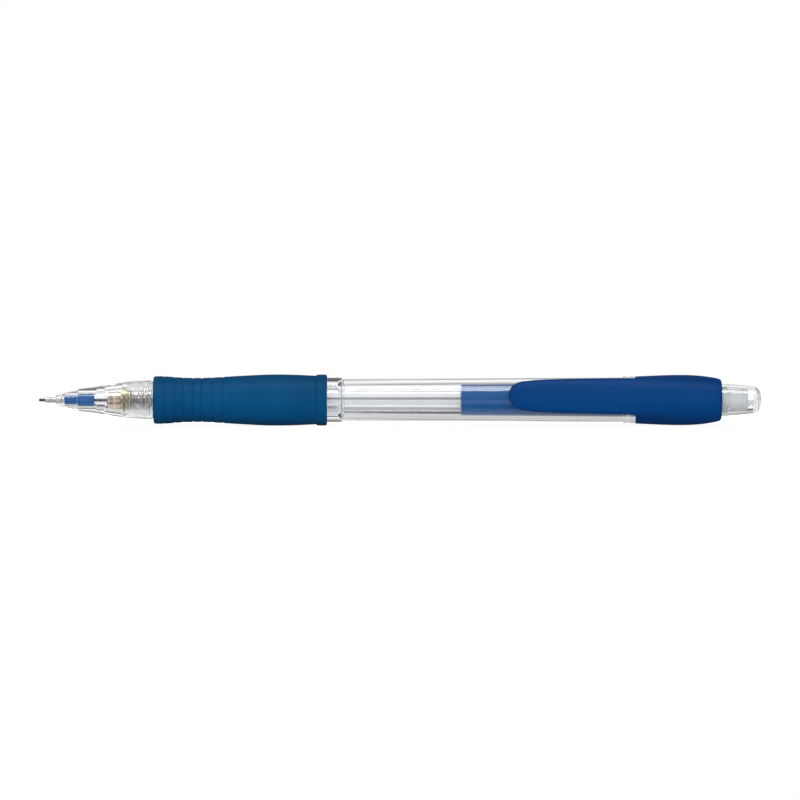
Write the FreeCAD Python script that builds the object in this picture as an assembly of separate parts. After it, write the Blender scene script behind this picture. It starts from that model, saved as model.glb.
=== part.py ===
import FreeCAD, Part
import math
import os

# Mechanical pencil for 0.5 mm leads: clear barrel with a soft grip, screw-on
# clear nose, brass three-jaw chuck with clutch ring and return spring, lead
# magazine, clear push button over an eraser, and a rear sleeve with a clip.
#
# Frame, millimetres: X runs along the pencil from the writing tip to the
# button, Z is up, and the origin is on the axis at the front end of the metal
# lead sleeve. The clip looks towards -Y, turned a little upwards.

V = FreeCAD.Vector

# ---- driving dimensions ----------------------------------------------------
LEAD_R = 0.28            # standard 0.5 mm lead, true diameter 0.56
LEAD_LEN = 60.0          # standard stick length
LEAD_OUT = 1.24          # lead standing out of the sleeve at rest
WORKING_END_X = 55.50    # the lead in use is already a little shortened
SPARE_X0 = 35.60         # spare stick lying on the far side of the magazine
SPARE_Y, SPARE_Z = 1.745, 0.327

SLEEVE_R = 0.50          # exposed part of the metal lead sleeve
SLEEVE_TAIL_R = 0.46     # its tail inside the nose
SLEEVE_BORE_R = 0.305
SLEEVE_STEP_X = 2.12
SLEEVE_COLLAR_R = 0.70   # locating collar just inside the nose
SLEEVE_COLLAR_X1 = 3.30
SLEEVE_END_X = 8.35

NOSE_FRONT_X = 2.14
NOSE_SHOULDER_X = 21.56  # rear shoulder that meets the barrel
NOSE_SPIGOT_END_X = 26.95
RIB_COUNT = 9
RIB_PITCH = 0.545
RIB_FIRST_X = 16.45
RIB_DEPTH = 0.24

THREAD_PITCH = 0.90
THREAD_MINOR_R = 2.77    # root of the male thread on the nose spigot
THREAD_MAJOR_R = 3.10    # crest of the male thread
THREAD_GAP = 0.08        # running clearance to the barrel's thread
THREAD_START_X = 22.70
THREAD_TURNS = 4.15

CHUCK_FRONT_X = 12.45    # front of the closed jaws
CHUCK_HEAD_R = 1.22
CHUCK_NECK_R = 0.84
JAW_ROOT_X = 19.00
JAW_SLIT = 0.20
RING_FRONT_X = 12.70
RING_REAR_X = 15.30
RING_R = 1.70
RING_TRAVEL = 0.60
CHUCK_SEAT_X0 = 15.60
CHUCK_SEAT_X1 = 16.60
CHUCK_SEAT_R = 2.25

SPRING_X0 = 16.66        # front end of the coil
SPRING_X1 = 29.00        # rear end of the coil at rest
SPRING_WIRE_R = 0.175
SPRING_MEAN_R = 1.93
SPRING_COILS = 15.0

BARREL_FRONT_X = 21.66
BARREL_REAR_X = 117.95
BARREL_CORE_R = 3.70     # under the grip
COLLAR_X0 = 56.44
COLLAR_X1 = 59.30
COLLAR_R = 4.45
BORE_FRONT_R = 2.45
BORE_STEP_X = 58.40

GRIP_X0 = 21.68
GRIP_X1 = 56.40
GRIP_BORE_R = 3.71
GROOVE_X = [23.90, 25.94, 27.72, 29.64, 31.36, 33.46, 35.50, 36.90]
GROOVE_W = 0.30
GROOVE_D = 0.13

TUBE_R = 2.36            # lead magazine
TUBE_BORE_R = 2.08
TUBE_FRONT_X = 29.06
SOCKET_X0 = 127.40       # flared rear end that holds the eraser
SOCKET_X1 = 136.40
SOCKET_R = 2.60
SOCKET_BORE_R = 2.25

ERASER_R = 2.22
ERASER_X0 = 129.00
ERASER_X1 = 140.42

CAP_X0 = 131.50
CAP_X1 = 143.18
CAP_R = 3.20
CAP_BORE_R = 2.62

REAR_X0 = 118.00         # visible part of the rear sleeve
REAR_X1 = 135.25
REAR_BORE_R = 3.30
INNER_X0 = 83.17         # spigot of the rear sleeve inside the barrel
INNER_BORE_R = 2.72

CLIP_TILT = 10.4         # degrees, from -Y towards +Z
CLIP_TIP_X = 92.25
CLIP_ROOT_X = 119.00
CLIP_GAP = 0.10          # thin gap that stands in for the bending root

os.makedirs("parts", exist_ok=True)


def chain(items):
    """Edges through a list of (x, r) points; a nested list is a smooth run."""
    edges = []
    last = None
    for it in items:
        if isinstance(it, list):
            pts = [V(p[0], p[1], 0) for p in it]
            if last is not None and last.distanceToPoint(pts[0]) > 1e-7:
                edges.append(Part.makeLine(last, pts[0]))
            c = Part.BSplineCurve()
            c.interpolate(pts)
            edges.append(c.toShape())
            last = pts[-1]
        else:
            p = V(it[0], it[1], 0)
            if last is not None and last.distanceToPoint(p) < 1e-6:
                continue
            if last is not None:
                edges.append(Part.makeLine(last, p))
            last = p
    return edges, last


def revolve(items):
    """Solid of revolution about X from a closed (x, r) outline."""
    edges, last = chain(items)
    first = items[0][0] if isinstance(items[0], list) else items[0]
    f = V(first[0], first[1], 0)
    if last.distanceToPoint(f) > 1e-7:
        edges.append(Part.makeLine(last, f))
    face = Part.Face(Part.Wire(edges))
    s = face.revolve(V(0, 0, 0), V(1, 0, 0), 360)
    if s.ShapeType != "Solid":
        s = s.Solids[0]
    if s.Volume < 0:
        s = s.reversed()
    return s


def ring_tool(x0, x1, r0, r1):
    return revolve([(x0, r0), (x1, r0), (x1, r1), (x0, r1)])


def along_x(shape):
    """Turn a shape built along +Z so that it lies along +X, same handedness."""
    s = shape.copy()
    s.rotate(V(0, 0, 0), V(0, 1, 0), 90)
    return s


def helical(outline, pitch, height, x_start):
    """Sweep a closed (axial, radial) outline along a right-hand helix."""
    r_ref = sum(p[1] for p in outline) / len(outline)
    helix = Part.makeLongHelix(pitch, height, r_ref)
    pts = [V(p[1], 0, p[0]) for p in outline]
    wire = Part.makePolygon(pts + [pts[0]])
    s = Part.Wire(helix.Edges).makePipeShell([wire], True, True)
    if s.ShapeType != "Solid":
        s = s.Solids[0]
    s = along_x(s)
    s.translate(V(x_start, 0, 0))
    if s.Volume < 0:
        s = s.reversed()
    return s


def one(shape):
    sol = shape.Solids
    if len(sol) != 1:
        sol = sorted(sol, key=lambda q: -abs(q.Volume))
        print("note: expected one solid, found", len(shape.Solids))
    return sol[0]


OUT = {}

# ---- leads -----------------------------------------------------------------
OUT["working_lead"] = revolve([
    (-LEAD_OUT, 0), (-LEAD_OUT, 0.20), (-LEAD_OUT + 0.16, LEAD_R),
    (WORKING_END_X, LEAD_R), (WORKING_END_X, 0)])

OUT["spare_lead"] = Part.makeCylinder(LEAD_R, LEAD_LEN, V(SPARE_X0, SPARE_Y, SPARE_Z), V(1, 0, 0))

# ---- nose group ------------------------------------------------------------
OUT["lead_sleeve"] = revolve([
    (0.0, SLEEVE_BORE_R), (0.0, SLEEVE_R), (SLEEVE_STEP_X, SLEEVE_R),
    (SLEEVE_STEP_X, SLEEVE_COLLAR_R), (SLEEVE_COLLAR_X1, SLEEVE_COLLAR_R),
    (SLEEVE_COLLAR_X1 + 0.15, SLEEVE_TAIL_R), (SLEEVE_END_X, SLEEVE_TAIL_R),
    (SLEEVE_END_X, 0.40), (SLEEVE_END_X - 0.25, SLEEVE_BORE_R)])

ribs = []
for i in range(RIB_COUNT):
    x = RIB_FIRST_X + i * RIB_PITCH
    top = 3.74 + 0.026 * i
    ribs += [(x, top - RIB_DEPTH), (x + 0.13, top - 0.02), (x + 0.22, top),
             (x + 0.33, top), (x + 0.42, top - 0.02), (x + RIB_PITCH, top - RIB_DEPTH + 0.026)]
ribs_end = RIB_FIRST_X + RIB_COUNT * RIB_PITCH
nose = revolve([
    (NOSE_FRONT_X, SLEEVE_COLLAR_R + 0.015), (NOSE_FRONT_X, 0.80),
    [(NOSE_FRONT_X, 0.80), (2.30, 0.92), (2.90, 1.14), (3.60, 1.36)],
    (6.55, 1.95), (6.63, 2.20), (6.75, 2.24),
    [(6.76, 2.242), (9.0, 2.50), (11.4, 2.85), (14.0, 3.25), (16.2, 3.60)],
    (RIB_FIRST_X - 0.10, 3.62)] + ribs + [
    (ribs_end + 0.10, 3.72), (NOSE_SHOULDER_X, 3.70),
    (NOSE_SHOULDER_X, THREAD_MINOR_R), (NOSE_SPIGOT_END_X - 0.2, THREAD_MINOR_R),
    (NOSE_SPIGOT_END_X, THREAD_MINOR_R - 0.2), (NOSE_SPIGOT_END_X, 2.30),
    (CHUCK_SEAT_X0 - 0.02, 2.30), (CHUCK_SEAT_X0 - 0.02, 2.06), (12.05, 1.78),
    (12.05, 1.52), (10.42, 1.48), (10.42, 1.27), (6.50, 1.27), (6.50, 0.905),
    (3.94, 0.905), (3.94, 0.475), (SLEEVE_COLLAR_X1 + 0.17, 0.475), (SLEEVE_COLLAR_X1 + 0.02, SLEEVE_COLLAR_R + 0.015)])
a, b = 0.27, 0.13        # half widths of the thread at root and crest
ridge = helical([(-a, THREAD_MINOR_R - 0.12), (-a, THREAD_MINOR_R), (-b, THREAD_MAJOR_R),
                 (b, THREAD_MAJOR_R), (a, THREAD_MINOR_R), (a, THREAD_MINOR_R - 0.12)],
                THREAD_PITCH, THREAD_PITCH * THREAD_TURNS, THREAD_START_X)
OUT["nose_cone"] = one(nose.fuse(ridge))

OUT["nose_insert"] = revolve([
    (3.96, 0.485), (3.96, 0.82), (4.03, 0.89), (6.76, 0.89), (6.76, 1.18),
    (6.83, 1.25), (9.85, 1.25), (9.95, 1.15), (9.95, 0.87), (8.40, 0.87), (8.40, 0.485)])

OUT["lead_retainer"] = revolve([
    (8.42, 0.2825), (8.42, 0.82), (8.50, 0.86), (9.82, 0.86), (9.90, 0.80),
    (9.90, 0.45), (9.42, 0.2825)])

# ---- chuck -----------------------------------------------------------------
collet = revolve([
    (CHUCK_FRONT_X, 0.42), (CHUCK_FRONT_X, CHUCK_HEAD_R - 0.08), (CHUCK_FRONT_X + 0.08, CHUCK_HEAD_R),
    (CHUCK_FRONT_X + 0.22, CHUCK_HEAD_R), (14.80, 0.99), (15.05, CHUCK_NECK_R),
    (JAW_ROOT_X, CHUCK_NECK_R), (JAW_ROOT_X, 0.42), (14.60, 0.42), (14.40, 0.285),
    (CHUCK_FRONT_X + 0.18, 0.285)])
for k in range(3):
    ang = 90 + 120 * k          # slit directions, between the jaws
    slot = Part.makeBox(JAW_ROOT_X - CHUCK_FRONT_X + 1.0, 2.0, JAW_SLIT,
                        V(CHUCK_FRONT_X - 0.5, 0.0, -JAW_SLIT / 2))
    slot.rotate(V(0, 0, 0), V(1, 0, 0), ang)
    collet = collet.cut(slot)
jaws = collet.Solids
print("jaws", len(jaws))


def jaw_angle(s):
    c = s.CenterOfMass
    return math.degrees(math.atan2(c.z, c.y)) % 360


jaws = sorted(jaws, key=jaw_angle)
for i, j in enumerate(jaws):
    OUT["chuck_jaw_%d" % (i + 1)] = j
    print("jaw", i + 1, "direction (deg from +Y towards +Z)", round(jaw_angle(j), 2))

OUT["chuck_ring"] = revolve([
    (RING_FRONT_X, 1.235), (RING_FRONT_X, RING_R - 0.10), (RING_FRONT_X + 0.10, RING_R),
    (RING_REAR_X - 0.15, RING_R), (RING_REAR_X, RING_R - 0.15), (RING_REAR_X, 1.03),
    (14.75, 1.03)])

OUT["chuck_seat"] = revolve([
    (CHUCK_SEAT_X0, 0.98), (CHUCK_SEAT_X0, CHUCK_SEAT_R - 0.05), (CHUCK_SEAT_X0 + 0.05, CHUCK_SEAT_R),
    (CHUCK_SEAT_X1 - 0.05, CHUCK_SEAT_R), (CHUCK_SEAT_X1, CHUCK_SEAT_R - 0.05), (CHUCK_SEAT_X1, 0.98)])

OUT["chuck_base"] = revolve([
    (JAW_ROOT_X + 0.04, 0.42), (JAW_ROOT_X + 0.04, 0.98), (22.0, 0.98), (22.4, 1.44),
    (34.2, 1.44), (34.2, 1.20), (32.6, 0.42)])

# ---- return spring ---------------------------------------------------------
sp_len = SPRING_X1 - SPRING_X0 - 2 * SPRING_WIRE_R
sp_pitch = sp_len / SPRING_COILS
helix = Part.makeLongHelix(sp_pitch, sp_len, SPRING_MEAN_R)
circ = Part.Wire(Part.makeCircle(SPRING_WIRE_R, V(SPRING_MEAN_R, 0, 0), V(0, 1, 0)))
spring = Part.Wire(helix.Edges).makePipeShell([circ], True, True)
spring = along_x(spring)
spring.translate(V(SPRING_X0 + SPRING_WIRE_R, 0, 0))
spring = spring.Solids[0]
if spring.Volume < 0:
    spring = spring.reversed()
OUT["return_spring"] = spring

# ---- lead magazine ---------------------------------------------------------
OUT["lead_tube"] = revolve([
    (TUBE_FRONT_X, 1.46), (TUBE_FRONT_X, TUBE_R - 0.08), (TUBE_FRONT_X + 0.12, TUBE_R),
    (SOCKET_X0 - 0.8, TUBE_R), (SOCKET_X0, SOCKET_R), (SOCKET_X1 - 0.08, SOCKET_R),
    (SOCKET_X1, SOCKET_R - 0.08), (SOCKET_X1, SOCKET_BORE_R + 0.06), (SOCKET_X1 - 0.10, SOCKET_BORE_R),
    (ERASER_X0 - 0.10, SOCKET_BORE_R), (ERASER_X0 - 0.10, TUBE_BORE_R),
    (35.4, TUBE_BORE_R), (34.25, 1.46)])

# ---- barrel ----------------------------------------------------------------
barrel = revolve([
    (BARREL_FRONT_X, THREAD_MINOR_R + THREAD_GAP), (BARREL_FRONT_X, BARREL_CORE_R - 0.1),
    (BARREL_FRONT_X + 0.1, BARREL_CORE_R), (COLLAR_X0, BARREL_CORE_R), (COLLAR_X0, COLLAR_R - 0.05),
    (COLLAR_X0 + 0.05, COLLAR_R), (COLLAR_X1 - 0.12, COLLAR_R), (COLLAR_X1, COLLAR_R - 0.12),
    (COLLAR_X1 + 0.12, 4.14), (115.50, 4.48), (115.60, 4.66), (116.25, 4.68), (116.40, 4.52),
    (116.80, 4.52), (116.95, 4.68), (BARREL_REAR_X - 0.1, 4.68), (BARREL_REAR_X, 4.58),
    (BARREL_REAR_X, 3.42), (83.40, 3.16), (59.40, 2.95),
    [(59.36, 2.90), (59.16, 2.63), (58.85, 2.49), (BORE_STEP_X, BORE_FRONT_R)],
    (28.60, BORE_FRONT_R), (28.20, THREAD_MINOR_R + THREAD_GAP)])
g = THREAD_GAP
groove = helical([(-a - g, THREAD_MINOR_R - 0.05), (-a - g, THREAD_MINOR_R + g), (-b - g, THREAD_MAJOR_R + g),
                  (b + g, THREAD_MAJOR_R + g), (a + g, THREAD_MINOR_R + g), (a + g, THREAD_MINOR_R - 0.05)],
                 THREAD_PITCH, THREAD_PITCH * 7.0, THREAD_START_X - 2 * THREAD_PITCH)
OUT["barrel"] = one(barrel.cut(groove))

# ---- grip ------------------------------------------------------------------
grip = revolve([
    (GRIP_X0, GRIP_BORE_R), (GRIP_X0, 4.30),
    [(GRIP_X0 + 0.02, 4.36), (GRIP_X0 + 0.14, 4.60), (GRIP_X0 + 0.48, 4.76), (23.20, 4.77),
     (24.96, 4.66), (26.36, 4.56), (27.96, 4.46), (29.60, 4.42), (31.60, 4.42), (33.36, 4.49),
     (34.96, 4.58), (36.96, 4.72), (38.96, 4.83), (40.96, 4.94), (42.56, 5.02), (44.40, 5.09),
     (46.96, 5.11), (48.96, 5.08), (50.96, 5.02), (52.56, 4.94), (54.00, 4.87)],
    [(54.12, 4.87), (54.44, 4.95), (54.82, 5.07), (55.50, 5.11), (56.09, 5.04), (56.36, 4.84)],
    (GRIP_X1, 4.70), (GRIP_X1, GRIP_BORE_R)])
GRIP_R_AT = [4.765, 4.59, 4.475, 4.42, 4.42, 4.49, 4.61, 4.715]
for x, r in zip(GROOVE_X, GRIP_R_AT):
    tool = revolve([(x - GROOVE_W / 2, r + 0.20), (x - GROOVE_W / 2, r + 0.04), (x - 0.05, r - GROOVE_D),
                    (x + 0.05, r - GROOVE_D), (x + GROOVE_W / 2, r + 0.04), (x + GROOVE_W / 2, r + 0.20)])
    grip = grip.cut(tool)
# the moulding seam of the grip lies a little off the vertical plane
grip.rotate(V(0, 0, 0), V(1, 0, 0), 3.5)
OUT["grip"] = one(grip)

# ---- rear sleeve and clip --------------------------------------------------
sleeve = revolve([
    (INNER_X0, INNER_BORE_R), (INNER_X0, 3.00), (INNER_X0 + 0.10, 3.09), (117.90, 3.36), (REAR_X0, 3.36),
    (REAR_X0, 4.60), (REAR_X0 + 0.08, 4.72),
    [(REAR_X0 + 0.10, 4.725), (119.96, 4.81), (121.96, 4.90), (123.96, 4.98), (126.46, 5.02), (128.96, 4.99),
     (130.96, 4.86), (132.56, 4.66), (133.90, 4.45), (134.62, 4.27)],
    [(134.67, 4.25), (134.91, 4.10), (135.11, 3.82), (135.21, 3.52)],
    (REAR_X1, 3.40), (REAR_X1, 3.36), (REAR_X1 - 0.06, REAR_BORE_R),
    (124.80, REAR_BORE_R), (124.10, INNER_BORE_R)])

# leaf outline of the clip, half width along its length
LEAF = [(CLIP_TIP_X, 0.0), (92.37, 0.80), (92.86, 1.62), (94.28, 2.47), (96.15, 3.02),
        (98.20, 3.27), (101.70, 3.40), (105.20, 3.50), (112.0, 3.64), (CLIP_ROOT_X + 12.0, 3.95)]


def leaf_prism():
    up = [V(x, -1.0, w) for x, w in LEAF]
    dn = [V(x, -1.0, -w) for x, w in LEAF]
    c1 = Part.BSplineCurve()
    c1.interpolate(list(reversed(dn[1:])) + up)
    e = c1.toShape()
    p0, p1 = c1.StartPoint, c1.EndPoint
    w = Part.Wire([e, Part.makeLine(p1, p0)])
    return Part.Face(w).extrude(V(0, -8.0, 0))


leaf = leaf_prism()
OUTER = [(CLIP_TIP_X - 0.1, 5.45), (94.0, 5.78), (98.0, 6.02), (104.0, 6.12), (110.0, 6.05), (115.0, 5.86), (CLIP_ROOT_X, 5.68)]
arm_ring = revolve([
    (CLIP_TIP_X - 0.1, 4.95), OUTER,
    (CLIP_ROOT_X, 5.02), [(CLIP_ROOT_X, 5.02), (113.0, 5.02), (104.0, 5.02), (CLIP_TIP_X - 0.1, 4.95)]])
arm = arm_ring.common(leaf)
arm = one(arm)
bump = Part.makeSphere(1.45, V(96.6, -(4.46 + 1.45), 0))
bump = bump.common(Part.makeBox(4.0, 3.0, 4.0, V(94.6, -5.5, -2.0)))
OUT_ARM = one(arm.fuse(bump))

root_ring = revolve([
    (CLIP_ROOT_X + CLIP_GAP, 4.0), (CLIP_ROOT_X + CLIP_GAP, 5.68),
    [(CLIP_ROOT_X + CLIP_GAP, 5.68), (121.5, 5.58), (124.0, 5.36), (127.0, 5.06), (129.0, 4.92)],
    (129.0, 4.0)])
boss = one(root_ring.common(leaf))
sleeve = one(sleeve.fuse(boss))
# clear the arm's root from the front rim of the sleeve
relief = revolve([(REAR_X0 - 2.0, 4.90), (CLIP_ROOT_X + CLIP_GAP, 4.90), (CLIP_ROOT_X + CLIP_GAP, 6.4), (REAR_X0 - 2.0, 6.4)])
sleeve = one(sleeve.cut(relief.common(leaf)))

for s in (sleeve, OUT_ARM):
    s.rotate(V(0, 0, 0), V(1, 0, 0), -CLIP_TILT)
OUT["rear_sleeve"] = sleeve
OUT["clip"] = OUT_ARM

# ---- eraser and push button ------------------------------------------------
OUT["eraser"] = revolve([
    (ERASER_X0, 0), (ERASER_X0, ERASER_R - 0.1), (ERASER_X0 + 0.1, ERASER_R),
    (ERASER_X1 - 0.55, ERASER_R),
    [(ERASER_X1 - 0.55, ERASER_R), (ERASER_X1 - 0.25, ERASER_R - 0.08), (ERASER_X1 - 0.06, ERASER_R - 0.28),
     (ERASER_X1, ERASER_R - 0.55)],
    (ERASER_X1, 0)])

OUT["button_cap"] = revolve([
    (CAP_X0, CAP_BORE_R + 0.08), (CAP_X0, CAP_R - 0.12), (CAP_X0 + 0.12, CAP_R), (135.98, CAP_R),
    [(136.02, 3.195), (137.72, 3.07), (139.48, 2.93), (141.08, 2.76), (141.88, 2.60), (142.42, 2.34),
     (142.74, 2.02)],
    [(142.74, 2.02), (142.96, 1.45), (143.12, 0.75), (CAP_X1, 0.0)],
    (142.32, 0), [(142.32, 0), (142.30, 0.8), (142.22, 1.45), (142.02, 1.86), (141.62, 2.14), (140.72, 2.30)],
    (136.72, 2.47), (136.62, CAP_BORE_R), (CAP_X0 + 0.08, CAP_BORE_R)])

for name in sorted(OUT):
    s = OUT[name]
    print("%-15s valid %s solids %d volume %.3f mm3" % (name, s.isValid(), len(s.Solids), s.Volume))
    s.exportStep("parts/%s.step" % name)
print("nodes", len(OUT))
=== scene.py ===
import math

import bmesh
import bpy
import numpy as np
from mathutils import Matrix, Vector


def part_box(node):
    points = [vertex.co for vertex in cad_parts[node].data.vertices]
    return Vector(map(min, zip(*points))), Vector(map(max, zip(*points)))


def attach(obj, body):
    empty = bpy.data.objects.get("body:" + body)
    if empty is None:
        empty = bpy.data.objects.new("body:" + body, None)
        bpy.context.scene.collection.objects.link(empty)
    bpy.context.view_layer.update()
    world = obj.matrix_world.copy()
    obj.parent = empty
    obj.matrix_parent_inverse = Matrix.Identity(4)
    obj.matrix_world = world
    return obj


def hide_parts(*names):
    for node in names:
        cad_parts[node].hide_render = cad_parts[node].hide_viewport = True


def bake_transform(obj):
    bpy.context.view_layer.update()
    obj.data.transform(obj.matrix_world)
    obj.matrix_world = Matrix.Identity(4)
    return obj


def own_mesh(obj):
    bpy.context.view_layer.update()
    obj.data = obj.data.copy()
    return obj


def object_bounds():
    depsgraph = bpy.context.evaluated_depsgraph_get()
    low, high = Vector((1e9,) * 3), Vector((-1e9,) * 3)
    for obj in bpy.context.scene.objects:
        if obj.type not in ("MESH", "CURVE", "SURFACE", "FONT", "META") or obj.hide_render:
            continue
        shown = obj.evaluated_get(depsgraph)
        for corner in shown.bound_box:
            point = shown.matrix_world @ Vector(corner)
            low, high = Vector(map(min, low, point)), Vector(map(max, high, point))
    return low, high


MM = 0.001
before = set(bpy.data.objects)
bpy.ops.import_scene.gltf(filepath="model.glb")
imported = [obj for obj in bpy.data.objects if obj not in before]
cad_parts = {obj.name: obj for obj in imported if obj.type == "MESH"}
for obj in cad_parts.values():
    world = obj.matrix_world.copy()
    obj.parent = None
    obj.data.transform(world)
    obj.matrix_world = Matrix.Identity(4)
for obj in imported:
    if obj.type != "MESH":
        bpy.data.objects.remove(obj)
cad_lo, cad_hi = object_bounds()

# painted glow of the floor against distance from the object / 0.3 m, as seen through clear parts: a dark band of
# painted shadow 6 to 16 mm from the pencil's axis, brighter painted paper further off
FLOOR_GLOW_PAINTED_SHADE = [(0.0, 0.64), (0.012, 0.64), (0.019, 0.07), (0.053, 0.07), (0.068, 0.98), (0.115, 0.98), (0.14, 0.62), (1.0, 0.72)]
# painted floor glow tones in front of the pencil, for rays along it and in reflections, then the floor's albedo for
# diffuse bounce
FLOOR_FRONT, FLOOR_OBLIQUE, FLOOR_GLOSSY, FLOOR_DIFFUSE = 0.48, 0.80, 0.12, 0.92
FLOOR_WHITE, FLOOR_NEAR = 1.7, 0.40         # paper seen by the camera: glow, and its share near the object
# sky tone against elevation in degrees: seen through clear parts, and mirrored by glossy ones
THROUGH_BACK = [(-90, 0.5), (-1, 1.0), (0, 1.12), (30, 1.06), (43, 0.78), (54, 0.42), (62, 0.25), (70, 0.30), (80, 0.6), (90, 0.6)]
THROUGH_FRONT = [(-90, 0.05), (0, 0.16), (16, 0.20), (36, 0.26), (56, 0.32), (68, 0.4), (80, 0.6), (90, 0.6)]
THROUGH_OBLIQUE = [(-90, 0.6), (0, 0.85), (30, 0.95), (55, 0.60), (90, 0.70)]
MIRROR_BACK = [(-90, 0.1), (0, 0.12), (30, 0.16), (50, 0.20), (66, 0.26), (80, 0.34), (90, 0.36)]
MIRROR_FRONT = [(-90, 0.03), (0, 0.03), (20, 0.04), (40, 0.07), (56, 0.16), (70, 0.30), (90, 0.36)]
SKY_DIFFUSE = 0.18
KEY_POWER, SOFT_POWER, FILL_POWER, LOW_POWER, BACK_POWER = 5.0, 2.0, 7.4, 3.0, 4.0

TILT = math.radians(10.4)          # the clip looks to -Y, turned a little up
CLIP_DIR = Vector((0, -math.cos(TILT), math.sin(TILT)))


def lo(node):
    return [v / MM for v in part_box(node)[0]]


def hi(node):
    return [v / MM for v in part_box(node)[1]]


# ---------------------------------------------------------------------------
# mesh helpers, all in millimetres
# ---------------------------------------------------------------------------
def rounded(points, radius=0.05, steps=4, special=None, min_turn=18.0):
    """Outline with its corners rounded. A point may carry its own radius as a third value."""
    pts = [tuple(p) for p in points]
    n = len(pts)
    out = []
    for i in range(n):
        p = np.array(pts[i][:2], float)
        r = pts[i][2] if len(pts[i]) > 2 else radius
        a = np.array(pts[(i - 1) % n][:2], float)
        b = np.array(pts[(i + 1) % n][:2], float)
        u, v = a - p, b - p
        lu, lv = np.linalg.norm(u), np.linalg.norm(v)
        if lu < 1e-9 or lv < 1e-9 or r <= 0 or p[1] <= 1e-9:
            out.append(tuple(p))
            continue
        u, v = u / lu, v / lv
        cosang = float(np.clip(u @ v, -1, 1))
        turn = 180 - math.degrees(math.acos(cosang))
        if turn < min_turn:
            out.append(tuple(p))
            continue
        half = math.acos(cosang) / 2
        d = min(r / math.tan(half) if math.tan(half) > 1e-9 else 0, 0.45 * lu, 0.45 * lv)
        rr = d * math.tan(half)
        bis = u + v
        bis /= np.linalg.norm(bis)
        c = p + bis * (rr / math.sin(half))
        s, e = p + u * d, p + v * d
        a0 = math.atan2(*(s - c)[::-1])
        a1 = math.atan2(*(e - c)[::-1])
        da = (a1 - a0 + math.pi) % (2 * math.pi) - math.pi
        k = max(2, int(math.ceil(abs(math.degrees(da)) / (90.0 / steps))))
        for j in range(k + 1):
            t = a0 + da * j / k
            out.append((c[0] + rr * math.cos(t), c[1] + rr * math.sin(t)))
    return out


def smooth_run(points, n=8):
    """Catmull-Rom points through the given ones."""
    p = [np.array(q, float) for q in points]
    p = [2 * p[0] - p[1]] + p + [2 * p[-1] - p[-2]]
    out = []
    for i in range(1, len(p) - 2):
        for j in range(n):
            t = j / n
            a, b, c, d = p[i - 1], p[i], p[i + 1], p[i + 2]
            q = 0.5 * ((2 * b) + (c - a) * t + (2 * a - 5 * b + 4 * c - d) * t * t + (3 * b - a - 3 * c + d) * t ** 3)
            out.append(tuple(q))
    out.append(tuple(p[-2]))
    return out


def link(name, verts, faces, smooth=True):
    me = bpy.data.meshes.new(name)
    me.from_pydata([tuple(v) for v in verts], [], faces)
    me.validate()
    me.polygons.foreach_set("use_smooth", [smooth] * len(me.polygons))
    ob = bpy.data.objects.new(name, me)
    bpy.context.scene.collection.objects.link(ob)
    return ob


def lathe(name, outline, seg=192, bump=None, sharp=35.0):
    """Solid of revolution about X from a closed (x, r) outline in mm. bump(x, r, theta) may move the radius."""
    pts = [outline[0]]
    for p in outline[1:]:
        if abs(p[0] - pts[-1][0]) + abs(p[1] - pts[-1][1]) > 1e-6:
            pts.append(p)
    if abs(pts[0][0] - pts[-1][0]) + abs(pts[0][1] - pts[-1][1]) < 1e-6:
        pts.pop()
    area = sum(pts[i][0] * pts[(i + 1) % len(pts)][1] - pts[(i + 1) % len(pts)][0] * pts[i][1] for i in range(len(pts)))
    if area < 0:
        pts.reverse()
    th = np.arange(seg) * 2 * math.pi / seg
    co, si = np.cos(th), np.sin(th)
    verts, rows = [], []
    for x, r in pts:
        if r < 1e-7:
            rows.append(("pole", len(verts)))
            verts.append((x * MM, 0.0, 0.0))
            continue
        rr = np.full(seg, r)
        if bump is not None:
            rr = bump(x, r, th)
        start = len(verts)
        rows.append(("ring", start))
        verts += list(zip([x * MM] * seg, rr * co * MM, rr * si * MM))
    faces = []
    n = len(rows)
    for i in range(n):
        ka, a = rows[i]
        kb, b = rows[(i + 1) % n]
        if ka == "pole" and kb == "pole":
            continue
        for j in range(seg):
            k = (j + 1) % seg
            if ka == "pole":
                faces.append((a, b + k, b + j))
            elif kb == "pole":
                faces.append((a + j, a + k, b))
            else:
                faces.append((a + j, a + k, b + k, b + j))
    ob = link(name, verts, faces)
    bm = bmesh.new()
    bm.from_mesh(ob.data)
    bmesh.ops.recalc_face_normals(bm, faces=bm.faces)
    bm.to_mesh(ob.data)
    bm.free()
    ob.data.polygons.foreach_set("use_smooth", [True] * len(ob.data.polygons))
    if sharp:
        ob.data.set_sharp_from_angle(angle=math.radians(sharp))
    return ob


def put(ob, body, slot, material, *nodes):
    ob.data.materials.clear()
    ob.data.materials.append(material)
    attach(ob, body)
    if nodes:
        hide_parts(*nodes)
    return ob


# ---------------------------------------------------------------------------
# materials
# ---------------------------------------------------------------------------
def new_mat(name):
    m = bpy.data.materials.new(name)
    m.use_nodes = True
    nt = m.node_tree
    nt.nodes.clear()
    out = nt.nodes.new("ShaderNodeOutputMaterial")
    bs = nt.nodes.new("ShaderNodeBsdfPrincipled")
    nt.links.new(bs.outputs[0], out.inputs[0])
    return m, nt, bs


def coord(nt, scale=(1, 1, 1)):
    tc = nt.nodes.new("ShaderNodeTexCoord")
    mp = nt.nodes.new("ShaderNodeMapping")
    mp.inputs["Scale"].default_value = scale
    nt.links.new(tc.outputs["Object"], mp.inputs[0])
    return mp.outputs[0]


def noise(nt, vec, scale, detail=3.0, rough=0.55):
    n = nt.nodes.new("ShaderNodeTexNoise")
    n.inputs["Scale"].default_value = scale
    n.inputs["Detail"].default_value = detail
    n.inputs["Roughness"].default_value = rough
    nt.links.new(vec, n.inputs["Vector"])
    return n.outputs["Fac"]


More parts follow.
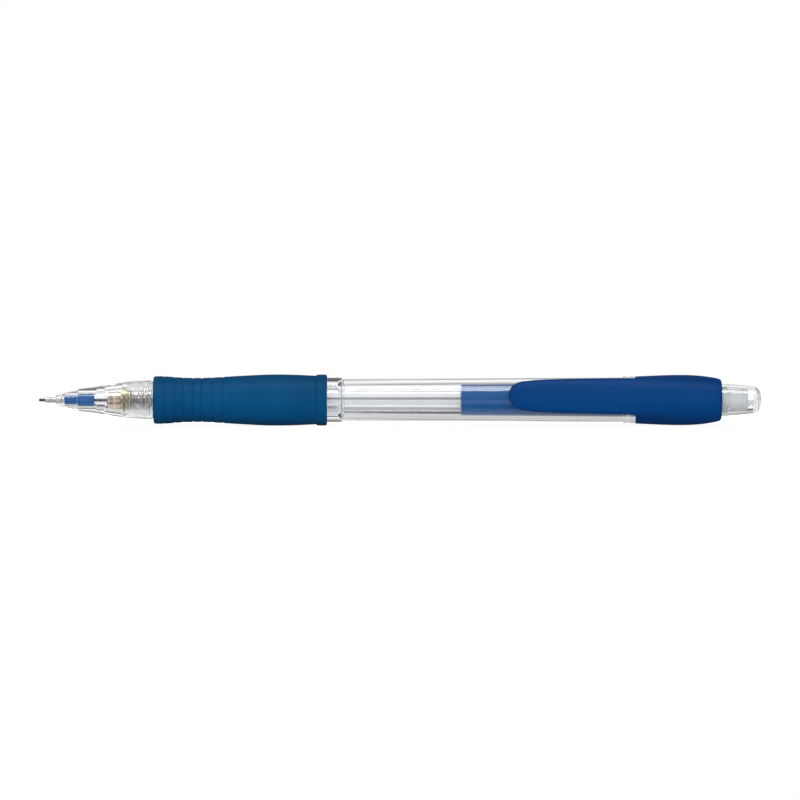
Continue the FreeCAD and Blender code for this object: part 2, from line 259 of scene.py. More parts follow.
def ramp(nt, fac, stops):
    r = nt.nodes.new("ShaderNodeValToRGB")
    e = r.color_ramp.elements
    while len(e) < len(stops):
        e.new(0.5)
    for el, (pos, col) in zip(e, stops):
        el.position = pos
        el.color = (*col, 1) if len(col) == 3 else col
    nt.links.new(fac, r.inputs[0])
    return r.outputs[0]


def remap(nt, fac, a, b):
    m = nt.nodes.new("ShaderNodeMapRange")
    m.inputs["To Min"].default_value = a
    m.inputs["To Max"].default_value = b
    nt.links.new(fac, m.inputs["Value"])
    return m.outputs[0]


def bump(nt, bs, height, strength, dist):
    b = nt.nodes.new("ShaderNodeBump")
    b.inputs["Strength"].default_value = strength
    b.inputs["Distance"].default_value = dist
    nt.links.new(height, b.inputs["Height"])
    nt.links.new(b.outputs[0], bs.inputs["Normal"])
    return b


def moulded(name, dark, light, rough=(0.16, 0.26), coat=0.10, grain=900.0, bump_d=0.004, spec=0.5):
    """Coloured moulded plastic with faint flow shading, uneven gloss and a very light surface ripple."""
    m, nt, bs = new_mat(name)
    v = coord(nt)
    flow = noise(nt, coord(nt, (40, 220, 220)), 1.0, 2.0)
    fine = noise(nt, v, grain, 2.0)
    col = ramp(nt, flow, [(0.30, dark), (0.72, light)])
    nt.links.new(col, bs.inputs["Base Color"])
    nt.links.new(remap(nt, fine, *rough), bs.inputs["Roughness"])
    bs.inputs["Specular IOR Level"].default_value = spec
    bs.inputs["Coat Weight"].default_value = coat
    bs.inputs["Coat Roughness"].default_value = 0.08
    bs.inputs["IOR"].default_value = 1.5
    bump(nt, bs, noise(nt, v, 260.0, 1.0), 0.06, bump_d * MM)
    return m


def soft_rubber(name, dark, light):
    """Matt soft-touch rubber: fine skin grain, very low specular, faint paler clouds of tone."""
    m, nt, bs = new_mat(name)
    v = coord(nt)
    cloud = noise(nt, v, 90.0, 4.0)
    skin = noise(nt, v, 5200.0, 2.0, 0.6)
    col = ramp(nt, cloud, [(0.32, dark), (0.70, light)])
    nt.links.new(col, bs.inputs["Base Color"])
    nt.links.new(remap(nt, skin, 0.36, 0.56), bs.inputs["Roughness"])
    bs.inputs["Specular IOR Level"].default_value = 0.05
    bump(nt, bs, skin, 0.25, 0.02 * MM)
    return m


def let_light_in(nt, bs, tint):
    """Shadow and diffuse rays pass straight through, so that what sits inside a clear part is lit."""
    lp = nt.nodes.new("ShaderNodeLightPath")
    either = nt.nodes.new("ShaderNodeMath")
    either.operation = "MAXIMUM"
    nt.links.new(lp.outputs["Is Shadow Ray"], either.inputs[0])
    nt.links.new(lp.outputs["Is Diffuse Ray"], either.inputs[1])
    tr = nt.nodes.new("ShaderNodeBsdfTransparent")
    tr.inputs[0].default_value = (tint, tint, tint, 1)
    mx = nt.nodes.new("ShaderNodeMixShader")
    nt.links.new(either.outputs[0], mx.inputs[0])
    nt.links.new(bs.outputs[0], mx.inputs[1])
    nt.links.new(tr.outputs[0], mx.inputs[2])
    out = [n for n in nt.nodes if n.type == "OUTPUT_MATERIAL"][0]
    nt.links.new(mx.outputs[0], out.inputs[0])
    return mx, out


def deep_ray_painted_glow(nt, mx, out, depth, glow):
    """A ray that has turned many times inside a clear wall ends in a painted glow, standing in for the soft light the
    wall carries.
    """
    lp = nt.nodes.new("ShaderNodeLightPath")
    deep = nt.nodes.new("ShaderNodeMath")
    deep.operation = "GREATER_THAN"
    nt.links.new(lp.outputs["Ray Depth"], deep.inputs[0])
    deep.inputs[1].default_value = depth
    em = nt.nodes.new("ShaderNodeEmission")
    em.inputs[0].default_value = (glow, glow, glow * 1.03, 1)
    last = nt.nodes.new("ShaderNodeMixShader")
    nt.links.new(deep.outputs[0], last.inputs[0])
    nt.links.new(mx.outputs[0], last.inputs[1])
    nt.links.new(em.outputs[0], last.inputs[2])
    nt.links.new(last.outputs[0], out.inputs[0])


def clear(name, tint=(0.965, 0.975, 0.985), rough=0.015, ior=1.52):
    """Clear moulded plastic: faint cool tint, tiny changes of gloss, soft flow ripple."""
    m, nt, bs = new_mat(name)
    v = coord(nt, (60, 300, 300))
    flow = noise(nt, v, 1.0, 2.0)
    nt.links.new(ramp(nt, flow, [(0.3, tint), (0.7, tuple(min(1, c + 0.015) for c in tint))]), bs.inputs["Base Color"])
    nt.links.new(remap(nt, noise(nt, coord(nt), 700.0, 3.0), max(rough - 0.012, 0.0), rough + 0.012), bs.inputs["Roughness"])
    bs.inputs["Transmission Weight"].default_value = 1.0
    bs.inputs["IOR"].default_value = ior
    bump(nt, bs, flow, 0.03, 0.01 * MM)
    # deep rays inside the clear wall end in a painted glow
    deep_ray_painted_glow(nt, *let_light_in(nt, bs, 0.97), 8.5, 0.60)
    return m


def milky(name):
    m, nt, bs = new_mat(name)
    v = coord(nt, (80, 500, 500))
    fl = noise(nt, v, 1.0, 3.0)
    nt.links.new(ramp(nt, fl, [(0.3, (0.955, 0.965, 0.975)), (0.7, (0.975, 0.985, 0.995))]), bs.inputs["Base Color"])
    nt.links.new(remap(nt, fl, 0.04, 0.08), bs.inputs["Roughness"])
    bs.inputs["Transmission Weight"].default_value = 0.85
    bs.inputs["IOR"].default_value = 1.45
    let_light_in(nt, bs, 0.90)
    return m


def metal(name, dark, light, rough=(0.16, 0.30), rings=2600.0, aniso=0.4, bump_s=0.10, metallic=1.0):
    """Turned metal: fine rings round the axis, tarnish clouds and uneven polish."""
    m, nt, bs = new_mat(name)
    v = coord(nt)
    cl = noise(nt, v, 700.0, 3.0)
    nt.links.new(ramp(nt, cl, [(0.3, dark), (0.7, light)]), bs.inputs["Base Color"])
    ring = nt.nodes.new("ShaderNodeTexWave")
    ring.wave_type = "BANDS"
    ring.bands_direction = "X"
    ring.inputs["Scale"].default_value = rings
    ring.inputs["Distortion"].default_value = 1.5
    ring.inputs["Detail"].default_value = 2.0
    nt.links.new(v, ring.inputs["Vector"])
    nt.links.new(remap(nt, ring.outputs["Fac"], *rough), bs.inputs["Roughness"])
    bs.inputs["Metallic"].default_value = metallic
    bs.inputs["Anisotropic"].default_value = aniso
    bump(nt, bs, ring.outputs["Fac"], bump_s, 0.01 * MM)
    return m


M_GRIP = soft_rubber("grip_rubber_blue", (0.0012, 0.0640, 0.176), (0.0022, 0.0770, 0.208))
M_BLUE = moulded("moulded_blue", (0.0008, 0.0450, 0.190), (0.0014, 0.0550, 0.220), (0.34, 0.44), 0.0, spec=0.05)
# brighter than moulded_blue though from the same blue moulding: painted light standing in for the light lost under the
# clear barrel
M_SPIGOT = moulded("moulded_blue_gloss", (0.0020, 0.088, 0.290), (0.0032, 0.102, 0.330), (0.14, 0.22), 0.0)
# made brighter as painted light, standing in for the light lost behind the clear nose
M_BUSH = moulded("bush_blue", (0.0020, 0.092, 0.300), (0.004, 0.110, 0.345), (0.30, 0.40), 0.0, spec=0.3)
M_CLEAR = clear("clear_barrel_plastic")
M_CLEARNOSE = clear("clear_nose_plastic", (0.97, 0.975, 0.98), 0.02, 1.52)
M_CLEARCAP = clear("clear_button_plastic", (0.97, 0.98, 0.985), 0.02, 1.5)
M_MILKY = milky("milky_tube_plastic")
M_BRASS = metal("turned_brass", (0.84, 0.68, 0.52), (0.97, 0.84, 0.70))
M_PLATED = metal("plated_chuck", (0.50, 0.49, 0.47), (0.70, 0.69, 0.66), (0.20, 0.34))
M_SEAT = metal("brass_seat_dull", (0.42, 0.36, 0.15), (0.58, 0.50, 0.26), (0.25, 0.40))
M_STEEL = metal("drawn_steel_tube", (0.52, 0.52, 0.53), (0.66, 0.66, 0.67), (0.22, 0.34), 1500.0, metallic=0.45)
M_SPRING = metal("spring_wire_steel", (0.46, 0.46, 0.48), (0.66, 0.66, 0.68), (0.15, 0.28), 3000.0, 0.0)


def graphite():
    m, nt, bs = new_mat("graphite_lead")
    v = coord(nt)
    fine = noise(nt, v, 9000.0, 2.0)
    nt.links.new(ramp(nt, fine, [(0.3, (0.045, 0.045, 0.048)), (0.7, (0.085, 0.085, 0.090))]), bs.inputs["Base Color"])
    nt.links.new(remap(nt, fine, 0.30, 0.50), bs.inputs["Roughness"])
    bs.inputs["Metallic"].default_value = 0.35
    bump(nt, bs, fine, 0.15, 0.01 * MM)
    return m


def eraser_mat():
    m, nt, bs = new_mat("eraser_vinyl")
    v = coord(nt)
    grain = noise(nt, v, 2400.0, 3.0, 0.6)
    nt.links.new(ramp(nt, noise(nt, v, 300.0, 3.0), [(0.3, (0.56, 0.585, 0.60)), (0.7, (0.64, 0.665, 0.68))]), bs.inputs["Base Color"])
    nt.links.new(remap(nt, grain, 0.55, 0.8), bs.inputs["Roughness"])
    bs.inputs["Subsurface Weight"].default_value = 0.15
    bs.inputs["Subsurface Scale"].default_value = 0.5 * MM
    bump(nt, bs, grain, 0.3, 0.02 * MM)
    return m


def black_rubber():
    m, nt, bs = new_mat("retainer_rubber")
    v = coord(nt)
    g = noise(nt, v, 4000.0, 3.0)
    nt.links.new(ramp(nt, g, [(0.3, (0.010, 0.010, 0.011)), (0.7, (0.028, 0.028, 0.030))]), bs.inputs["Base Color"])
    nt.links.new(remap(nt, g, 0.5, 0.7), bs.inputs["Roughness"])
    bump(nt, bs, g, 0.3, 0.02 * MM)
    return m


M_LEAD = graphite()
M_ERASER = eraser_mat()
M_BLACK = black_rubber()

# ---------------------------------------------------------------------------
# tip and nose
# ---------------------------------------------------------------------------
SX = lo("lead_sleeve")[0]                 # front of the lead sleeve, the frame's origin
put(lathe("working_lead_stick", rounded([
    (lo("working_lead")[0], 0), (lo("working_lead")[0], 0.17, 0.03), (lo("working_lead")[0] + 0.20, 0.28, 0.05),
    (hi("working_lead")[0], 0.28, 0.01), (hi("working_lead")[0], 0)], 0.02), 64),
    "lead", "graphite", M_LEAD, "working_lead")

put(lathe("lead_sleeve_tube", rounded([
    (SX, 0.305, 0.03), (SX, 0.50, 0.06), (SX + 2.12, 0.50, 0.02), (SX + 2.12, 0.70, 0.05), (SX + 3.30, 0.70, 0.06),
    (SX + 3.45, 0.40, 0.05), (SX + 8.35, 0.40, 0.03), (SX + 8.35, 0.36), (SX + 8.10, 0.305)]), 96),
    "tip_sleeve", "steel", M_STEEL, "lead_sleeve")

NX = lo("nose_cone")[0]                   # front face of the nose
n0 = NX - 2.14
RIB_N, RIB_P, RIB_X = 9, 0.545, 16.45
ribs = []
for i in range(RIB_N):
    x = n0 + RIB_X + i * RIB_P
    top = 3.74 + 0.026 * i
    ribs += [(x, top - 0.24, 0.03), (x + 0.15, top, 0.09), (x + 0.40, top, 0.09)]
xe = n0 + RIB_X + RIB_N * RIB_P
cone_out = smooth_run([(n0 + 2.16, 0.80), (n0 + 2.30, 0.92), (n0 + 2.90, 1.14), (n0 + 3.60, 1.36), (n0 + 5.0, 1.66), (n0 + 6.50, 1.94)], 5)
cone_mid = smooth_run([(n0 + 6.76, 2.242), (n0 + 9.0, 2.50), (n0 + 11.4, 2.85), (n0 + 14.0, 3.25), (n0 + 16.2, 3.60)], 6)
SPIG = hi("nose_cone")[0]
TH_P, TH_MIN, TH_MAX, TH_X = 0.90, 2.77, 3.10, n0 + 22.70


def thread_radius(x, r, th):
    """Right-hand ridge on the spigot, rising over the first and last quarter turn."""
    if abs(r - TH_MIN) > 1e-4:
        return np.full(len(th), r)
    phase = (x - TH_X) / TH_P - (-(th) / (2 * math.pi))
    return np.full(len(th), r) + ridge(x, th)


def ridge(x, th):
    # helix starts on +Z... the CAD ridge starts at local -Z and winds right-handed about +X
    out = np.zeros(len(th))
    for turn in range(-1, 7):
        ang = (th - START_ANG) / (2 * math.pi) + turn
        cx = TH_X + ang * TH_P
        d = np.abs(x - cx)
        h = np.clip((0.27 - d) / (0.27 - 0.13), 0, 1) * (TH_MAX - TH_MIN)
        inside = (ang > -0.02) & (ang < 4.17)
        fade = np.clip((ang + 0.02) / 0.12, 0, 1) * np.clip((4.17 - ang) / 0.12, 0, 1)
        out = np.maximum(out, h * inside * fade)
    return out


# where the ridge starts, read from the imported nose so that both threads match
_co = np.array([v.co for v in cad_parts["nose_cone"].data.vertices], float) / MM
_r = np.hypot(_co[:, 1], _co[:, 2])
_sel = (_r > TH_MAX - 0.02) & (_r < TH_MAX + 0.02) & (_co[:, 0] > TH_X + 0.3) & (_co[:, 0] < TH_X + 3.2)
_ang = np.arctan2(_co[_sel, 2], _co[_sel, 1])
_guess = (_ang - (_co[_sel, 0] - TH_X) / TH_P * 2 * math.pi)
START_ANG = float(math.atan2(np.sin(_guess).mean(), np.cos(_guess).mean()))

spigot = [(x, TH_MIN) for x in np.arange(n0 + 22.30, SPIG - 0.12, 0.045)]
nose_line = rounded(
    [(NX, 0.715, 0.02), (NX, 0.79, 0.03)] + cone_out + [(n0 + 6.55, 1.95, 0.03), (n0 + 6.63, 2.20, 0.05)] + cone_mid
    + [(n0 + 16.32, 3.62, 0.04), (n0 + 16.36, 3.52, 0.02)] + ribs
    + [(xe, 3.70, 0.03), (xe + 0.05, 3.76, 0.03), (n0 + 21.56, 3.72, 0.06), (n0 + 21.56, TH_MIN, 0.0), (n0 + 22.2, TH_MIN, 0.0)]
    + spigot + [(SPIG, TH_MIN - 0.12, 0.04), (SPIG, 2.30, 0.06),
                (n0 + 15.58, 2.30, 0.03), (n0 + 15.58, 2.06, 0.04), (n0 + 12.05, 1.78, 0.03), (n0 + 12.05, 1.52, 0.04),
                (n0 + 10.42, 1.48, 0.03), (n0 + 10.42, 1.27, 0.03), (n0 + 6.50, 1.27, 0.04), (n0 + 6.50, 0.905, 0.03),
                (n0 + 3.94, 0.905, 0.03), (n0 + 3.94, 0.475, 0.02), (n0 + 3.47, 0.475, 0.02), (n0 + 3.32, 0.715, 0.02)],
    0.03, 4)
put(lathe("nose_shell", nose_line, 224, bump=thread_radius), "nose", "clear_plastic", M_CLEARNOSE, "nose_cone")

IX = lo("nose_insert")[0]
put(lathe("nose_bush", rounded([
    (IX, 0.485, 0.03), (IX, 0.89, 0.08), (IX + 2.80, 0.89, 0.03), (IX + 2.80, 1.25, 0.08), (hi("nose_insert")[0], 1.25, 0.12),
    (hi("nose_insert")[0], 0.87, 0.04), (IX + 4.44, 0.87, 0.03), (IX + 4.44, 0.485, 0.03)]), 128),
    "nose", "blue_bush", M_BUSH, "nose_insert")

RX = lo("lead_retainer")[0]
put(lathe("lead_retainer_plug", rounded([
    (RX, 0.2825, 0.02), (RX, 0.86, 0.06), (hi("lead_retainer")[0], 0.86, 0.08), (hi("lead_retainer")[0], 0.45, 0.06),
    (hi("lead_retainer")[0] - 0.48, 0.2825, 0.03)]), 96),
    "nose", "black_rubber", M_BLACK, "lead_retainer")

# ---------------------------------------------------------------------------
# chuck
# ---------------------------------------------------------------------------
CX = lo("chuck_ring")[0]
put(lathe("clutch_ring", rounded([
    (CX, 1.235, 0.04), (CX, 1.70, 0.12), (CX + 1.05, 1.70, 0.04), (CX + 1.12, 1.64, 0.03), (CX + 1.24, 1.64, 0.03),
    (CX + 1.31, 1.70, 0.04), (CX + 2.60, 1.70, 0.15), (CX + 2.60, 1.03, 0.06), (CX + 2.05, 1.03, 0.05)]), 128),
    "clutch_ring", "brass", M_BRASS, "chuck_ring")
WX = lo("chuck_seat")[0]
put(lathe("chuck_seat_washer", rounded([
    (WX, 0.98, 0.04), (WX, 2.25, 0.08), (WX + 0.42, 2.25, 0.03), (WX + 0.46, 2.18, 0.03), (WX + 0.56, 2.18, 0.03),
    (WX + 0.60, 2.25, 0.03), (WX + 1.0, 2.25, 0.08), (WX + 1.0, 0.98, 0.04)]), 128),
    "barrel_body", "brass", M_SEAT, "chuck_seat")
BX = lo("chuck_base")[0]
put(lathe("chuck_root", rounded([
    (BX, 0.42, 0.03), (BX, 0.98, 0.06), (BX + 2.96, 0.98, 0.05), (BX + 3.36, 1.44, 0.05), (hi("chuck_base")[0], 1.44, 0.05),
    (hi("chuck_base")[0], 1.20, 0.04), (hi("chuck_base")[0] - 1.6, 0.42, 0.1)]), 128),
    "push_tube", "brass", M_PLATED, "chuck_base")
for i in (1, 2, 3):
    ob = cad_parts["chuck_jaw_%d" % i]
    ob.data.materials.clear()
    ob.data.materials.append(M_PLATED)


def coil(name, x0, x1, mean_r, wire_r, turns, seg_turn=56, ring=14):
    """Compression spring with one closed coil at each end and the wire's ends capped flat."""
    n = int(turns * seg_turn)
    pitch_end = wire_r * 2.06
    closed = 1.15
    span = (x1 - x0) - 2 * wire_r
    t = np.linspace(0, turns, n + 1)
    mid = (span - 2 * closed * pitch_end) / (turns - 2 * closed)
    # pitch as a smooth function of turn, summed to give position
    k = np.clip(np.minimum(t, turns - t) / closed, 0, 2)
    w = np.clip((k - 0.75) / 0.5, 0, 1)
    w = w * w * (3 - 2 * w)
    p = pitch_end + (mid - pitch_end) * w
    x = np.concatenate([[0], np.cumsum((p[1:] + p[:-1]) / 2 * np.diff(t))])
    x = x0 + wire_r + x * span / x[-1]
    a = 2 * math.pi * t
    verts, faces = [], []
    for i in range(n + 1):
        c = np.array([x[i], mean_r * math.cos(a[i]), mean_r * math.sin(a[i])])
        dx = (p[i] / (2 * math.pi))
        tan = np.array([dx, -mean_r * math.sin(a[i]), mean_r * math.cos(a[i])])
        tan /= np.linalg.norm(tan)
        rad = np.array([0, math.cos(a[i]), math.sin(a[i])])
        b = np.cross(tan, rad)
        for j in range(ring):
            q = 2 * math.pi * j / ring
            verts.append(tuple((c + wire_r * (math.cos(q) * rad + math.sin(q) * b)) * MM))
    for i in range(n):
        for j in range(ring):
            k2 = (j + 1) % ring
            faces.append((i * ring + j, i * ring + k2, (i + 1) * ring + k2, (i + 1) * ring + j))
    faces.append(tuple(range(ring)))
    faces.append(tuple(reversed([n * ring + j for j in range(ring)])))
    ob = link(name, verts, faces)
    bm = bmesh.new()
    bm.from_mesh(ob.data)
    bmesh.ops.recalc_face_normals(bm, faces=bm.faces)
    bm.to_mesh(ob.data)
    bm.free()
    ob.data.polygons.foreach_set("use_smooth", [True] * len(ob.data.polygons))
    ob.data.set_sharp_from_angle(angle=math.radians(50))
    return ob


GX0, GX1 = lo("return_spring")[0], hi("return_spring")[0]
spring = put(coil("return_coil", GX0, GX1, 1.93, 0.175, 15.0), "barrel_body", "spring_steel", M_SPRING, "return_spring")
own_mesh(spring)

# ---------------------------------------------------------------------------
# magazine, spare leads
# ---------------------------------------------------------------------------
TX0, TX1 = lo("lead_tube")[0], hi("lead_tube")[0]
EX0 = lo("eraser")[0]
put(lathe("lead_magazine", rounded([
    (TX0, 1.46, 0.04), (TX0, 2.36, 0.08), (TX1 - 9.80, 2.36, 0.3), (TX1 - 9.0, 2.60, 0.3), (TX1, 2.60, 0.08), (TX1, 2.25, 0.08),
    (EX0 - 0.10, 2.25, 0.04), (EX0 - 0.10, 2.08, 0.04), (TX0 + 6.3, 2.08, 0.2), (TX0 + 5.2, 1.46, 0.1)]), 160),
    "push_tube", "milky_plastic", M_MILKY, "lead_tube")

slo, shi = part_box("spare_lead")
sp = lathe("spare_lead_stick", rounded([
    (lo("spare_lead")[0], 0), (lo("spare_lead")[0], 0.28, 0.02), (hi("spare_lead")[0], 0.28, 0.02), (hi("spare_lead")[0], 0)], 0.02), 48)
sp.data.transform(Matrix.Translation((0, (slo.y + shi.y) / 2, (slo.z + shi.z) / 2)))
put(sp, "push_tube", "graphite", M_LEAD, "spare_lead")

# ---------------------------------------------------------------------------
# barrel
# ---------------------------------------------------------------------------
BF, BR = lo("barrel")[0], hi("barrel")[0]
b0 = BF - 21.66
put(lathe("barrel_shell", rounded([
    (BF, 3.19, 0.05), (BF, 3.70, 0.10), (b0 + 56.44, 3.70, 0.02), (b0 + 56.44, 4.45, 0.05), (b0 + 59.30, 4.45, 0.14),
    (b0 + 59.42, 4.14, 0.08), (b0 + 115.50, 4.48, 0.04), (b0 + 115.60, 4.67, 0.06), (b0 + 116.25, 4.68, 0.08), (b0 + 116.40, 4.52, 0.05),
    (b0 + 116.80, 4.52, 0.05), (b0 + 116.95, 4.68, 0.08), (BR, 4.68, 0.10), (BR, 3.42, 0.05), (b0 + 83.40, 3.16, 0.0),
    (b0 + 59.36, 2.95, 0.25), (b0 + 58.50, 2.45, 0.35), (b0 + 28.60, 2.45, 0.1), (b0 + 28.20, 3.19, 0.1)], 0.05, 5), 256),
    "barrel_body", "clear_plastic", M_CLEAR, "barrel")

# ---------------------------------------------------------------------------
# grip
# ---------------------------------------------------------------------------
RX0, RX1 = lo("grip")[0], hi("grip")[0]
r0 = RX0 - 21.68
body_line = smooth_run([
    (r0 + 23.00, 4.77), (r0 + 24.00, 4.745), (r0 + 24.96, 4.67), (r0 + 26.36, 4.56), (r0 + 27.96, 4.46), (r0 + 29.60, 4.42), (r0 + 31.60, 4.42),
    (r0 + 33.36, 4.49), (r0 + 34.96, 4.58), (r0 + 36.96, 4.72), (r0 + 38.96, 4.83), (r0 + 40.96, 4.94), (r0 + 42.56, 5.02),
    (r0 + 44.40, 5.09), (r0 + 46.96, 5.11), (r0 + 48.96, 5.08), (r0 + 50.96, 5.02), (r0 + 52.56, 4.94), (r0 + 53.98, 4.87)], 10)
bx = np.array([p[0] for p in body_line])
br = np.array([p[1] for p in body_line])
GROOVES = [(23.90, 0.12), (25.94, 0.11), (27.72, 0.10), (29.64, 0.13), (31.36, 0.13), (33.46, 0.11), (35.50, 0.12), (36.90, 0.06)]
xs = list(np.arange(r0 + 23.0, r0 + 53.98, 0.25))
for g, d in GROOVES:
    xs += list(r0 + g + np.linspace(-0.26, 0.26, 15))
xs = np.array(sorted(set(np.round(xs, 4))))
rs = np.interp(xs, bx, br)
for g, d in GROOVES:
    u = np.abs(xs - (r0 + g)) / 0.17
    rs -= d * np.exp(-u ** 2 * 1.6)
grip_line = rounded(
    [(RX0, 3.71, 0.03), (RX0, 4.745, 0.50), (r0 + 22.9, 4.77, 0.0)] + list(zip(xs, rs))
    + [(r0 + 54.12, 4.87, 0.10), (r0 + 54.42, 5.07, 0.28), (r0 + 55.20, 5.11, 0.35), (RX1, 5.08, 0.42), (RX1, 3.71, 0.03)], 0.03, 7)
put(lathe("grip_sleeve", grip_line, 224), "barrel_body", "blue_rubber", M_GRIP, "grip")

# ---------------------------------------------------------------------------
# rear sleeve: inner spigot by lathe, outer shell with clip from an implicit shape
# ---------------------------------------------------------------------------
SX0, SX1 = lo("rear_sleeve")[0], hi("rear_sleeve")[0]
s0 = SX0 - 83.17
put(lathe("rear_spigot", rounded([
    (SX0, 2.72, 0.06), (SX0, 3.09, 0.10), (s0 + 118.10, 3.36, 0.0), (s0 + 118.10, 2.72, 0.0)], 0.05), 192),
    "barrel_body", "blue_plastic", M_SPIGOT)

OUTER = smooth_run([(118.0, 4.72), (119.96, 4.81), (121.96, 4.90), (123.96, 4.98), (126.46, 5.02), (128.96, 4.99), (130.96, 4.86),
                    (132.56, 4.66), (133.90, 4.45), (134.80, 4.22), (135.7, 3.90)], 8)
ox = np.array([p[0] for p in OUTER]) + s0
orr = np.array([p[1] for p in OUTER])
LEAF = [(92.25, 0.0), (92.37, 0.80), (92.86, 1.62), (94.28, 2.47), (96.15, 3.02), (98.20, 3.27), (101.70, 3.40),
        (105.20, 3.50), (112.0, 3.64), (118.0, 3.78), (131.0, 3.95)]
lx = np.array([p[0] for p in LEAF]) + s0
lw = np.array([p[1] for p in LEAF])
ARM_OUT = smooth_run([(92.4, 5.42), (94.0, 5.76), (98.0, 6.01), (104.0, 6.11), (110.0, 6.04), (115.0, 5.86), (119.0, 5.66), (121.5, 5.50), (124.0, 5.27), (126.5, 4.92), (128.6, 4.50), (130.5, 4.00), (133.0, 3.3)], 8)
ax = np.array([p[0] for p in ARM_OUT]) + s0
ar = np.array([p[1] for p in ARM_OUT])


def smin(a, b, k):
    h = np.clip(0.5 + 0.5 * (b - a) / k, 0, 1)
    return b * (1 - h) + a * h - k * h * (1 - h)


def smax(a, b, k):
    return -smin(-a, -b, k)


def shape(x, y, z):
    """Signed field in mm, clip towards -Y: the rear shell with its clip arm in one moulding."""
    rho = np.hypot(y, z)
    shell = rho - np.interp(x, ox, orr)
    shell = smax(shell, (s0 + 118.0) - x, 0.16)
    shell = smax(shell, x - SX1, 0.55)
    # arm: a curved strip cut to a leaf in plan
    half = np.interp(x, lx, lw)
    # distance to the leaf edge, corrected for its slope near the tip
    edge = np.abs(z) - half
    tip = np.hypot(np.clip(lx[4] - x, 0, None) * 0.80, z) - 3.03
    plan = np.where(x < lx[4], tip, edge)
    out = rho - np.interp(x, ax, ar)
    inn = 5.02 - rho
    arm = smax(smax(out, inn, 0.30), plan, 0.62)
    arm = smax(arm, y, 0.1)
    bump_d = np.sqrt((x - (s0 + 96.6)) ** 2 + (y + (4.47 + 1.45)) ** 2 + z ** 2) - 1.45
    bump_d = smax(bump_d, -y - 5.6, 0.1)
    arm = smin(arm, bump_d, 0.35)
    d = smin(shell, arm, 0.9)
    # bore of the shell, and the seat of the spigot
    bore = np.where(x > s0 + 118.6, rho - 3.30, rho - 3.36)
    return smax(d, -bore, 0.10)


def surface_net(fn, lo3, hi3, h):
    """Closed quad mesh of fn = 0 on a grid of step h: one vertex per crossed cell, moved onto the surface."""
    g = [np.arange(a, b + h, h) for a, b in zip(lo3, hi3)]
    X, Y, Z = np.meshgrid(*g, indexing="ij")
    F = fn(X, Y, Z)
    inside = F < 0
    nx, ny, nz = F.shape
    cs = np.zeros((nx - 1, ny - 1, nz - 1), np.int8)
    for dx in (0, 1):
        for dy in (0, 1):
            for dz in (0, 1):
                cs += inside[dx:nx - 1 + dx, dy:ny - 1 + dy, dz:nz - 1 + dz]
    act = (cs > 0) & (cs < 8)
    idx = -np.ones(act.shape, np.int64)
    idx[act] = np.arange(act.sum())
    I, J, K = np.nonzero(act)
    pos = np.zeros((len(I), 3))
    cnt = np.zeros(len(I))
    corners = [(a, b, c) for a in (0, 1) for b in (0, 1) for c in (0, 1)]
    for a in range(8):
        for b in range(a + 1, 8):
            ca, cb = corners[a], corners[b]
            if sum(abs(p - q) for p, q in zip(ca, cb)) != 1:
                continue
            fa = F[I + ca[0], J + ca[1], K + ca[2]]
            fb = F[I + cb[0], J + cb[1], K + cb[2]]
            m = (fa < 0) != (fb < 0)
            t = np.zeros(len(I))
            t[m] = fa[m] / (fa[m] - fb[m])
            for d in range(3):
                pos[:, d] += np.where(m, ca[d] + t * (cb[d] - ca[d]), 0)
            cnt += m
    pos /= cnt[:, None]
    P = np.stack([g[0][I] + pos[:, 0] * h, g[1][J] + pos[:, 1] * h, g[2][K] + pos[:, 2] * h], 1)
    e = h * 0.25
    for _ in range(4):
        f = fn(P[:, 0], P[:, 1], P[:, 2])
        G = np.stack([(fn(P[:, 0] + e * (d == 0), P[:, 1] + e * (d == 1), P[:, 2] + e * (d == 2))
                       - fn(P[:, 0] - e * (d == 0), P[:, 1] - e * (d == 1), P[:, 2] - e * (d == 2))) / (2 * e) for d in range(3)], 1)
        gg = (G * G).sum(1)
        step = np.clip(f / np.maximum(gg, 0.05), -0.3 * h, 0.3 * h)
        P -= 0.8 * G * step[:, None]
    faces = []
    for d in range(3):
        a = inside[:-1, :, :] if d == 0 else inside[:, :-1, :] if d == 1 else inside[:, :, :-1]
        b = inside[1:, :, :] if d == 0 else inside[:, 1:, :] if d == 1 else inside[:, :, 1:]
        u, v = [k for k in range(3) if k != d]
        cross = a != b
        ci = list(np.nonzero(cross))
        flip = a[tuple(ci)]
        ok = (ci[u] > 0) & (ci[v] > 0)
        ok &= (ci[u] < act.shape[u]) & (ci[v] < act.shape[v]) & (ci[d] < act.shape[d])
        ci = [c[ok] for c in ci]
        flip = flip[ok]
        quad = []
        for du, dv in ((0, 0), (-1, 0), (-1, -1), (0, -1)):
            q = list(ci)
            q[u] = q[u] + du
            q[v] = q[v] + dv
            quad.append(idx[tuple(q)])
        quad = np.stack(quad, 1)
        good = (quad >= 0).all(1)
        quad, flip = quad[good], flip[good]
        if d == 1:
            flip = ~flip
        quad[~flip] = quad[~flip][:, ::-1]
        faces.append(quad)
    return P, np.concatenate(faces)


STEP = 0.135
P, Q = surface_net(shape, (s0 + 92.0, -6.6, -5.4), (SX1 + 0.3, 5.4, 5.4), STEP)
c, s = math.cos(-TILT), math.sin(-TILT)
R = np.stack([P[:, 0], P[:, 1] * c - P[:, 2] * s, P[:, 1] * s + P[:, 2] * c], 1) * MM
shell = link("rear_shell_with_clip", R, [tuple(int(i) for i in q) for q in Q])
bm = bmesh.new()
bm.from_mesh(shell.data)
bmesh.ops.recalc_face_normals(bm, faces=bm.faces)
bm.to_mesh(shell.data)
bm.free()
shell.data.polygons.foreach_set("use_smooth", [True] * len(shell.data.polygons))
shell.data.materials.append(M_BLUE)
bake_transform(shell)
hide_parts("rear_sleeve", "clip")

# ---------------------------------------------------------------------------
# eraser and push button
# ---------------------------------------------------------------------------
EX1 = hi("eraser")[0]


